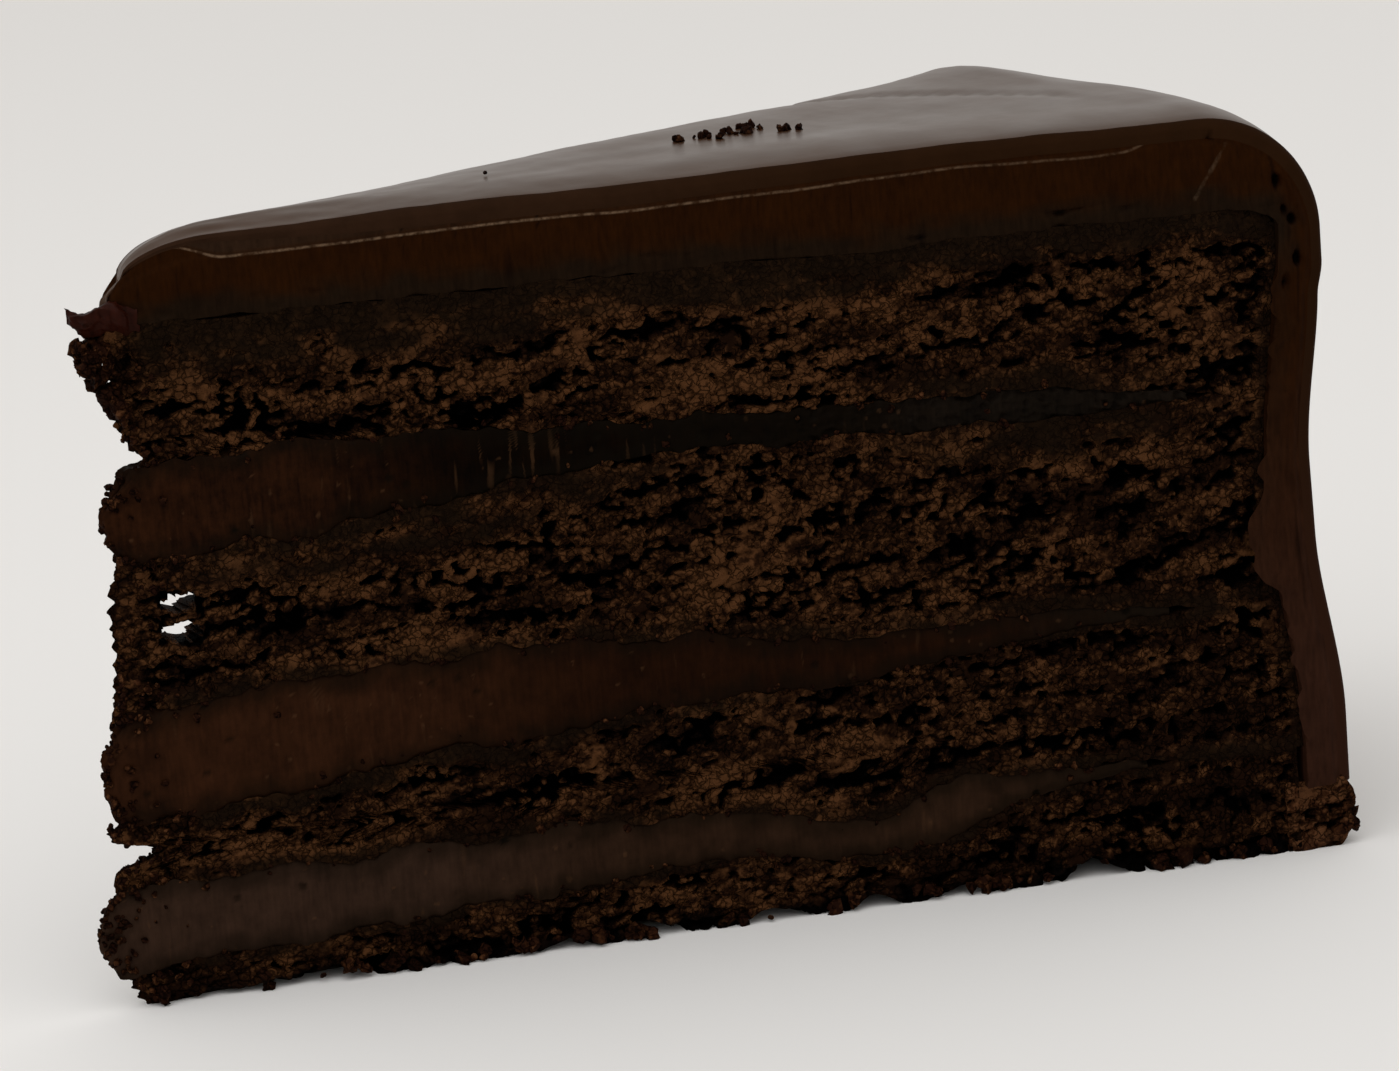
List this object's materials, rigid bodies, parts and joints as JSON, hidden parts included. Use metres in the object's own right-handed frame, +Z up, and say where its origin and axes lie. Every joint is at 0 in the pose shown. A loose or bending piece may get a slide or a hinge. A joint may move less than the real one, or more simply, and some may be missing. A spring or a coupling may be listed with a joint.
{
  "type": "chocolate cake slice",
  "caption": "Wedge slice of layered chocolate cake with fillings between sponge layers, icing over the top and rim, and a crumbly foot.",
  "frame": {"origin": "middle of the slice's bounding box, on its flat underside", "axes": "+X from the pointed tip to the iced rim, +Z up, the two cut faces look to -Y and +Y"},
  "size_m": [0.1192, 0.0546, 0.0718],
  "materials": {
    "icing": "satin chocolate icing",
    "sponge": "matte open crumb",
    "filling": "satin chocolate cream",
    "crumb": "matte pressed crumbs"
  },
  "bodies": {
    "root": {"icing": "icing", "sponge_1": "sponge", "sponge_2": "sponge", "sponge_3": "sponge", "sponge_4": "sponge", "filling_1": "filling", "filling_2": "filling", "filling_3": "filling", "crumb_foot": "crumb"}
  },
  "joints": []
}
